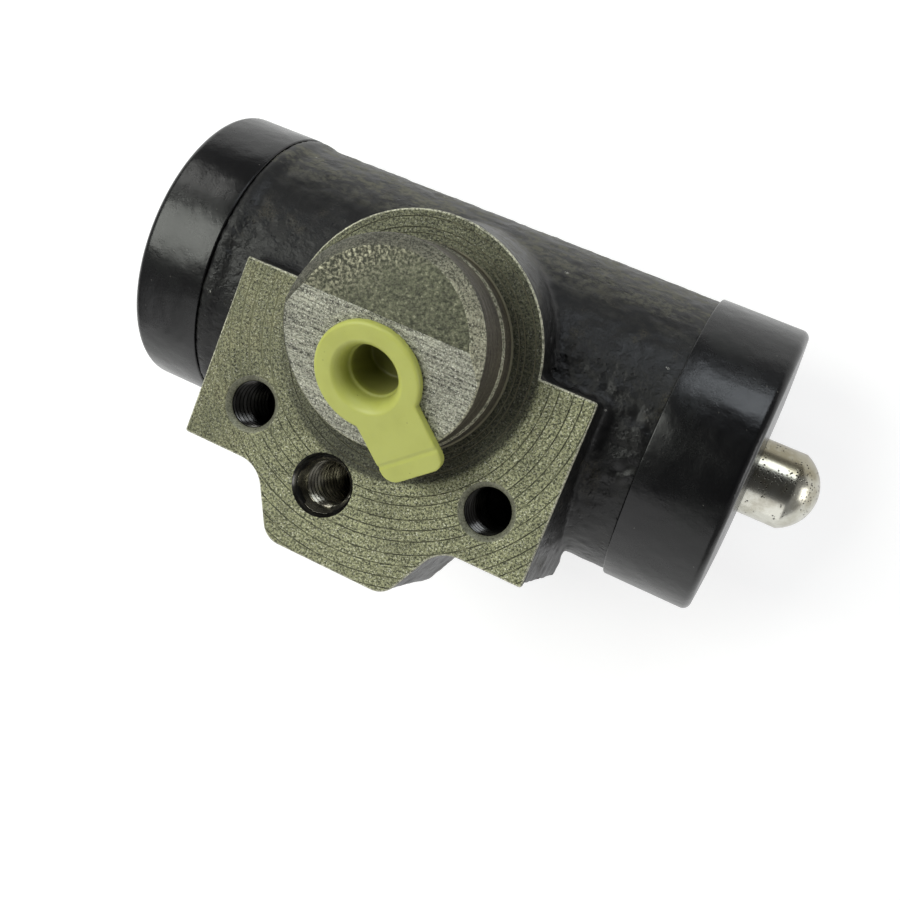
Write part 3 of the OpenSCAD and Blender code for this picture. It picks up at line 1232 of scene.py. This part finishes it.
    @staticmethod
    def _swell(skin: Obj, name: str, size: float, strength: float, group: str) -> None:
        """Pushes part of the skin in and out by soft noise.

        Args:
            skin: The casting's skin.
            name: The noise's name.
            size: How wide its lumps are.
            strength: How far they reach, from the lowest to the highest.
            group: The vertex group that it is limited to.
        """
        texture = bpy.data.textures.new(name, "CLOUDS")
        texture.noise_scale = size
        Bench.apply(
            skin,
            "DISPLACE",
            texture=texture,
            texture_coords="LOCAL",
            strength=strength,
            mid_level=0.5,
            vertex_group=group,
        )

    def _machined(self) -> None:
        """The machined pad, spigot and port face."""
        plate = Bench.copy_of(self.node, "machined_pad")
        Bench.cut(plate, (0.0, 0.0, self.plate_bottom), UP, keep_ahead=True)
        with Editing(plate):
            bpy.ops.mesh.dissolve_limited(angle_limit=self.flat_angle)
        Bench.apply(
            plate,
            "BEVEL",
            width=self.bevel,
            segments=2,
            limit_method="ANGLE",
            angle_limit=self.bevel_angle,
            use_clamp_overlap=False,
        )
        self._paint_faces(plate)
        self._turn_rings(plate)
        Bench.smooth(plate, degrees=20)
        dress(plate, "casting", "cast_iron", "cylinder_body")

    def _turn_rings(self, plate: Obj) -> None:
        """Cuts the turning tool's rings into the pad and into the ledge around the spigot.

        Args:
            plate: The machined piece.
        """
        f = self.finishes
        cuts = [(r * MM, self.ring_width, self.ring_depth, f.groove) for r in self.ring_radii_mm]
        cuts += [(r, self.boss_ring_width, self.boss_ring_depth, f.ledge_ring) for r in self.boss_rings]
        cutter = Bench.joined([self._ring_cutter(*cut) for cut in cuts])
        Bench.carve(plate, cutter, material_mode="TRANSFER")

    def _ring_cutter(self, radius: float, width: float, depth: float, material: Mat) -> Obj:
        """A ring of three-sided section that cuts one turned groove.

        Args:
            radius: The groove's radius about the spigot's axis.
            width: Its width at the face.
            depth: Its depth below the face.
            material: The finish of its flanks.

        Returns:
            The cutter.
        """
        inner = (radius - width, 0.0, depth)
        points = [inner, (radius + width, 0.0, depth), (radius, 0.0, -depth), inner]
        ring = Bench.revolved("ring_cutter", points, ORIGIN, UP, self.ring_steps)
        ring.data.materials.append(material)
        return ring

    def _paint_faces(self, plate: Obj) -> None:
        """Gives each machined face the finish of the tool that cut it.

        Args:
            plate: The machined piece.
        """
        f = self.finishes
        order = [f.paint, f.pad, f.edge, f.crescent, f.milled]
        order += [f.wall, f.thread, f.chamfer, f.mouth, f.ledge_ring]
        for material in order:
            plate.data.materials.append(material)
        milled_way = Vector((0.0, -math.sin(self.port_tilt), math.cos(self.port_tilt)))
        for face in plate.data.polygons:
            material = self._face_finish(face.center, face.normal, milled_way)
            face.material_index = order.index(material)

    def _face_finish(self, at: Vector, way: Vector, milled_way: Vector) -> Mat:
        """The finish of one machined face.

        Args:
            at: The face's centre.
            way: The face's normal.
            milled_way: The normal of the port face.

        Returns:
            The material.
        """
        f = self.finishes
        reach = math.hypot(at.x, at.y)
        if reach < self.spigot_reach and at.z > self.spigot_foot:
            if way.dot(milled_way) > self.port_level:
                return f.milled
            if way.z > self.crescent_level:
                return f.crescent
            if way.z > self.chamfer_level:
                return f.chamfer
            # The port's inner wall takes the thread's nearly black finish, which is painted shade.
            if way.xy.dot(at.xy) < 0 and reach < self.port_reach:
                return f.thread
            return f.wall
        if way.z > self.pad_level:
            return f.pad
        *mounting, bleed = self.holes
        # The walls inside the bleed hole and the mounting holes take the thread's nearly black finish, which
        # is painted shade.
        if math.hypot(at.x - bleed.x, at.y - bleed.y) < self.hole_reach:
            return f.thread
        if any(math.hypot(at.x - h.x, at.y - h.y) < self.hole_reach for h in mounting):
            return f.mouth if way.z > self.edge_level else f.thread
        if way.z > self.edge_level:
            return f.edge if reach > self.foot_reach else f.ledge_ring
        return f.paint

    def _thread(self, hole: TappedHole) -> None:
        """The thread of one tapped hole, as a thin sleeve.

        Args:
            hole: The tapped hole.
        """
        run = self.pitch
        top = hole.start
        foot = top - hole.depth
        start = foot - run
        line = [(hole.minor + deep * self.thread_depth, start + up * run) for deep, up in self.thread_shape]
        sleeve = Bench.drawn(hole.name, [(hole.x + r, hole.y, z) for r, z in line])
        Bench.pick(sleeve)
        bpy.context.scene.cursor.location = (hole.x, hole.y, 0.0)
        bpy.ops.object.origin_set(type="ORIGIN_CURSOR")
        Bench.apply(
            sleeve,
            "SCREW",
            axis="Z",
            angle=math.tau,
            screw_offset=run,
            iterations=math.ceil(hole.depth / run) + 2,
            steps=self.thread_steps,
            render_steps=self.thread_steps,
            use_merge_vertices=True,
            merge_threshold=self.thread_merge,
        )
        Bench.settle(sleeve)
        with Editing(sleeve):
            bpy.ops.mesh.remove_doubles(threshold=self.thread_merge)
            bpy.ops.mesh.normals_make_consistent(inside=True)
        Bench.cut(sleeve, (0.0, 0.0, top), UP, keep_ahead=False, close=False)
        Bench.cut(sleeve, (0.0, 0.0, foot), UP, keep_ahead=True, close=False)
        self._face_axis(sleeve, hole)
        Bench.apply(sleeve, "SOLIDIFY", thickness=self.sleeve_wall, offset=-1.0)
        # The mounting holes' thread is nearly black, painted shade; the bleed hole's is bright, a painted
        # highlight.
        finish = self.finishes.thread
        if top < self.plate_bottom:
            Bench.joined([sleeve, self._mouth_cone(hole)])
            finish = self.finishes.bleed_thread
        Bench.coat(sleeve, finish, degrees=35)
        dress(sleeve, "casting", "cast_iron", "cylinder_body")

    def _mouth_cone(self, hole: TappedHole) -> Obj:
        """The countersunk wall between the machined plate and a thread that starts below it.

        Args:
            hole: The tapped hole.

        Returns:
            The cone, as a closed ring.
        """
        share = 1.0 - self.plate_bottom / hole.start
        wide = hole.minor + self.bleed_mouth * share
        back = self._room(hole) - self.lap
        top = self.plate_bottom + self.lap / 2
        foot = hole.start - self.cone_lap
        corners = [(wide, top), (back, top), (back, foot), (hole.minor, foot), (hole.minor, hole.start)]
        points = [(hole.x + r, hole.y, z) for r, z in corners]
        return Bench.revolved("mouth_cone", points + points[:1], (hole.x, hole.y, 0.0), UP, self.cone_steps)

    @staticmethod
    def _face_axis(sleeve: Obj, hole: TappedHole) -> None:
        """Turns a thread's open surface so that its faces look at the hole's axis.

        Args:
            sleeve: The thread's surface.
            hole: The tapped hole.
        """
        axis = Vector((hole.x, hole.y, 0.0))
        outward = sum((face.center - axis).xy.dot(face.normal.xy) for face in sleeve.data.polygons)
        if outward > 0:
            with Editing(sleeve):
                bpy.ops.mesh.flip_normals()


@dataclass
class Boot:
    """A rubber end boot, gripped in the casting's groove."""

    side: Side
    finishes: Finishes
    wall: float = 2.6 * MM
    end_wall: float = 2.5 * MM
    edge: float = 1.3 * MM
    crown: float = 0.65 * MM
    rim: float = 0.25 * MM
    lap: float = 0.45 * MM
    step: float = 0.6 * MM
    skirt: float = 0.7 * MM
    skirt_gap: float = 0.07 * MM
    lip: float = 0.5 * MM
    rod_gap: float = 0.06 * MM
    wall_shares: tuple[float, ...] = (0.25, 0.5, 0.75)
    corner_steps: int = 5
    edge_steps: int = 10
    crown_steps: int = 6
    steps: int = 128

    def outline(self) -> tuple[list[Point], Point]:
        """The boot's section.

        Returns:
            The closed line around the section, and a point on the boot's axis.
        """
        low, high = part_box(f"{self.side.label}_boot")
        rod_low, rod_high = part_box(f"{self.side.label}_push_rod")
        axis_z = (low.z + high.z) / 2
        outer = (high.z - low.z) / 2
        inner = outer - self.wall
        hole = (rod_high.z - rod_low.z) / 2 + self.rod_gap
        mouth, end = sorted((abs(low.x), abs(high.x)))
        mouth -= self.lap
        floor = end - self.end_wall
        section = [(mouth, inner + self.rim)]
        if self.side is Side.RIGHT:
            over = outer - self.step + self.skirt_gap
            section += [(mouth, over), (mouth - self.skirt, over)]
            mouth -= self.skirt
        section += arc((mouth + self.rim, outer - self.rim), self.rim, 180, 90, self.corner_steps)
        section += [(mouth + (end - mouth) * share, outer) for share in self.wall_shares]
        span = outer - self.edge - hole - self.lip
        tilt = 2 * math.atan(self.crown / span)
        bulge = span / math.sin(tilt)
        top = end + self.crown
        few, fillet = self.corner_steps, self.edge / 2
        lean = math.degrees(tilt)
        section += arc((end - self.edge, outer - self.edge), self.edge, 90, lean, self.edge_steps)
        section += arc((top - bulge, hole + self.lip), bulge, lean, 0, self.crown_steps)
        section += arc((top - self.lip, hole + self.lip), self.lip, 0, -90, few)[1:]
        section += arc((floor + self.lip, hole + self.lip), self.lip, -90, -180, few)
        section += arc((floor - fillet, inner - fillet), fillet, 0, 90, few)
        section += [(section[0][0] + self.rim, inner), section[0]]
        return [(self.side.value * x, 0.0, axis_z + r) for x, r in section], (0.0, 0.0, axis_z)

    def build(self) -> None:
        """Makes the boot."""
        points, centre = self.outline()
        name = f"{self.side.label}_rubber_boot"
        boot = Bench.revolved(name, points, centre, ALONG, self.steps)
        Bench.coat(boot, self.finishes.rubber, degrees=40)
        dress(boot, "casting", "rubber", f"{self.side.label}_boot")


@dataclass
class PushRod:
    """A plated push rod with a round tip."""

    side: Side
    finishes: Finishes
    chamfer: float = 0.5 * MM
    nose: float = 0.66
    wall_shares: tuple[float, ...] = (0.3, 0.6)
    nose_steps: int = 20
    steps: int = 96

    def build(self) -> None:
        """Makes the rod."""
        low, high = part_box(f"{self.side.label}_push_rod")
        axis_z = (low.z + high.z) / 2
        radius = (high.z - low.z) / 2
        start, tip = sorted((abs(low.x), abs(high.x)))
        rise = self.nose * radius
        curve = (radius * radius + rise * rise) / (2 * rise)
        section = [(start, 0.0), (start, radius - self.chamfer), (start + self.chamfer, radius)]
        section += [(start + (tip - rise - start) * share, radius) for share in self.wall_shares]
        section += [(tip - rise - self.chamfer, radius)]
        section += arc((tip - curve, 0.0), curve, math.degrees(math.asin(radius / curve)), 0, self.nose_steps)
        points = [(self.side.value * x, 0.0, axis_z + r) for x, r in section]
        name = f"{self.side.label}_rod"
        rod = Bench.revolved(name, points, (0.0, 0.0, axis_z), ALONG, self.steps)
        Bench.coat(rod, self.finishes.steel, degrees=30)
        dress(rod, f"{self.side.label}_plunger", "steel", f"{self.side.label}_push_rod")


@dataclass
class TransitPlug:
    """The soft plug in the inlet port, moulded in one with its pull tab."""

    frame: dict[str, Any]
    port: PortAxis
    finishes: Finishes
    voxel: float = 0.17 * MM
    top: float = 1.35 * MM
    funnel_mm: tuple[Pair, ...] = (
        (5.32, 1.35),
        (4.90, 1.05),
        (4.58, 0.65),
        (4.34, 0.2),
        (4.20, -0.25),
        (4.11, -0.8),
        (4.04, -1.6),
    )
    tab_turn: float = math.radians(-48)
    funnel_rise: float = 0.2 * MM
    funnel_reach: float = 0.1 * MM
    funnel_steps: int = 96
    crease_at: float = 12.3 * MM
    crease_r: float = 0.4 * MM
    crease_lift: float = 0.55
    crease_len: float = 16.0 * MM
    crease_sides: int = 24

    def build(self) -> None:
        """Makes the plug."""
        plug = Bench.copy_of(self.frame["nodes"]["inlet_plug"], "transit_plug")
        for cutter in (self._funnel(), self._crease()):
            Bench.carve(plug, cutter)
        Bench.remesh(plug, self.voxel)
        Bench.coat(plug, self.finishes.plastic, degrees=60)
        dress(plug, "plug", "plug_plastic", "inlet_plug")

    def _funnel(self) -> Obj:
        """The cutter that opens the plug's hollow to a funnel with a step at its foot.

        Returns:
            The cutter.
        """
        wall = [(r * MM, height * MM) for r, height in self.funnel_mm]
        rim = self.top + self.funnel_rise
        corners = [(0.0, rim), (wall[0][0] + self.funnel_reach, rim), *wall, (0.0, wall[-1][1])]
        points = [tuple(self.port.at(r, 0.0, height)) for r, height in corners]
        foot, way = tuple(self.port.foot), tuple(self.port.way)
        return Bench.revolved("funnel", points + points[:1], foot, way, self.funnel_steps)

    def _crease(self) -> Obj:
        """The cutter that scores the tab's top near its end.

        Returns:
            The cutter.
        """
        along = Vector((math.cos(self.tab_turn), math.sin(self.tab_turn))) * self.crease_at
        place = self.port.at(along.x, along.y, self.top + self.crease_lift * self.crease_r)
        width = self.port.at(-along.y, along.x, 0.0) - self.port.foot
        bpy.ops.object.select_all(action="DESELECT")
        bpy.ops.mesh.primitive_cylinder_add(
            vertices=self.crease_sides,
            radius=self.crease_r,
            depth=self.crease_len,
            location=place,
            rotation=width.to_track_quat("Z", "Y").to_euler(),
        )
        cutter = bpy.context.active_object
        Bench.settle(cutter)
        return cutter


@dataclass
class ReturnSpring:
    """The return spring, cut in two halves at its middle."""

    frame: dict[str, Any]
    finishes: Finishes

    def build(self) -> None:
        """Makes both halves."""
        low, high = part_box("return_spring")
        middle = (low + high) / 2
        for side in Side:
            end = middle.copy()
            end.x = high.x if side is Side.RIGHT else low.x
            self._half(side, middle)

    def _half(self, side: Side, middle: Vector) -> None:
        """One half, the part of the spring on its side of the middle.

        Args:
            side: The end of the bore that the half lies towards.
            middle: The spring's middle.
        """
        half = Bench.copy_of(self.frame["nodes"]["return_spring"], f"{side.label}_spring_half")
        Bench.cut(half, tuple(middle), (side.value, 0.0, 0.0), keep_ahead=True)
        Bench.coat(half, self.finishes.steel, degrees=40)
        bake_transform(half)
        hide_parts("return_spring")
        LOG.info("%s: %d faces between casting and plunger", half.name, len(half.data.polygons))


@dataclass
class Internals:
    """The pieces inside the bore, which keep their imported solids."""

    frame: dict[str, Any]
    finishes: Finishes

    def build(self) -> None:
        """Gives each inner node its finish."""
        f = self.finishes
        finish_of = {"piston": f.alloy, "cup_seal": f.rubber, "expander": f.steel}
        for side in Side:
            for part, material in finish_of.items():
                self._finish(f"{side.label}_{part}", material)

    def _finish(self, node: str, material: Mat) -> None:
        """Puts one material on one node.

        Args:
            node: The node's name.
            material: Its material.
        """
        mesh = self.frame["nodes"][node].data
        mesh.materials.clear()
        mesh.materials.append(material)
        LOG.info("%s: finish %s", node, material.name)


@dataclass(frozen=True)
class Lamp:
    """One square soft lamp that looks at the object."""

    name: str
    at: Point
    size: float
    power: float
    colour: Colour = WHITE

    def build(self) -> None:
        """Makes the lamp."""
        lamp = bpy.data.lights.new(self.name, "AREA")
        lamp.size = self.size
        lamp.energy = self.power
        lamp.color = self.colour
        obj = bpy.data.objects.new(self.name, lamp)
        bpy.context.scene.collection.objects.link(obj)
        obj.location = self.at
        obj.rotation_euler = (-Vector(self.at)).to_track_quat("-Z", "Y").to_euler()


@dataclass
class Studio:
    """White floor, soft light and the camera."""

    floor_z: float
    floor_size: float = 6.0
    floor_grey: Colour = (0.42, 0.42, 0.42)
    floor_glow: float = 0.74
    sky: float = 0.32
    sky_top_dim: float = 0.25
    sky_rear_dim: float = 0.10
    lamps: tuple[Lamp, ...] = (
        Lamp("left_softbox", (-0.36, 0.06, 0.58), 0.40, 3.3, (0.97, 1.0, 0.93)),
        Lamp("back_softbox", (0.04, 0.50, 0.34), 0.24, 0.85, (0.88, 0.94, 1.0)),
        Lamp("thread_softbox", (-0.36, 0.36, 0.28), 0.16, 0.36, (1.0, 1.0, 0.96)),
        Lamp("front_panel", (-0.05, -0.55, 0.22), 0.62, 1.2),
        Lamp("right_strip", (0.55, 0.04, 0.02), 0.22, 0.6),
    )
    camera_at: Point = (0.04952434, 0.01507572, 0.15746057)
    camera_right: Point = (0.88711941, 0.36877976, -0.27752594)
    camera_down: Point = (0.39773837, -0.91588838, 0.05433847)
    camera_way: Point = (-0.23414385, -0.15858742, -0.95918022)
    lens: float = 47.157
    sensor: float = 36.0
    clip_end: float = 20.0

    def build(self) -> None:
        """Makes the floor, the lights, the world and the camera."""
        self._floor()
        self._world()
        for lamp in self.lamps:
            lamp.build()
        self._camera()
        bpy.context.scene.view_settings.view_transform = "Standard"

    def _floor(self) -> None:
        """The pale floor that the boots lie on."""
        bpy.ops.object.select_all(action="DESELECT")
        bpy.ops.mesh.primitive_plane_add(size=self.floor_size, location=(0.0, 0.0, self.floor_z))
        floor = bpy.context.active_object
        floor.name = "floor"
        Bench.settle(floor)
        s = Shader.for_material("white_floor")
        path = s.node("ShaderNodeLightPath", out="Is Camera Ray").socket.node.outputs
        kinds = ("Camera", "Glossy", "Transmission")
        camera, glossy, clear = (Sock(s, path[f"Is {kind} Ray"]) for kind in kinds)
        strength = (camera + glossy + clear) * self.floor_glow
        shade = s.node("ShaderNodeBsdfDiffuse", inputs={"Color": self.floor_grey})
        glow = s.node("ShaderNodeEmission", inputs={"Color": WHITE, "Strength": strength})
        both = s.node("ShaderNodeAddShader", inputs={0: shade, 1: glow})
        s.node("ShaderNodeOutputMaterial", inputs={"Surface": both})
        floor.data.materials.append(s.owner)

    def _world(self) -> None:
        """Even light from all round, dimmer straight above and behind."""
        world = bpy.data.worlds.new("studio")
        bpy.context.scene.world = world
        s = Shader(world)
        way = s.node("ShaderNodeTexCoord", out="Generated")
        _, rear, up = s.axes(way)
        path = s.node("ShaderNodeLightPath", out="Is Camera Ray")
        level = self.sky - self.sky_top_dim * up.step(0.55, 0.95) - self.sky_rear_dim * rear.step(0.1, 0.8)
        sky = s.node("ShaderNodeBackground", inputs={"Color": WHITE, "Strength": path + (1 - path) * level})
        s.node("ShaderNodeOutputWorld", inputs={"Surface": sky})

    def _camera(self) -> None:
        """The camera at the photograph's place."""
        data = bpy.data.cameras.new("camera")
        data.lens = self.lens
        data.sensor_width = self.sensor
        data.clip_start = MM
        data.clip_end = self.clip_end
        camera = bpy.data.objects.new("camera", data)
        bpy.context.scene.collection.objects.link(camera)
        columns = (Vector(self.camera_right), -Vector(self.camera_down), -Vector(self.camera_way))
        camera.matrix_world = Matrix.Translation(self.camera_at) @ Matrix(columns).transposed().to_4x4()
        bpy.context.scene.camera = camera


def main() -> None:
    """Builds every piece of the object and the studio around it."""
    logging.basicConfig(level=logging.INFO, format="%(name)s: %(message)s")
    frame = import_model()
    port = PortAxis.of(frame)
    finishes = Finishes(port)
    Casting(frame, finishes).build()
    for side in Side:
        Boot(side, finishes).build()
        PushRod(side, finishes).build()
    TransitPlug(frame, port, finishes).build()
    ReturnSpring(frame, finishes).build()
    Internals(frame, finishes).build()
    Studio(floor_z=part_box("right_boot")[0].z).build()


if __name__ == "__main__":
    main()
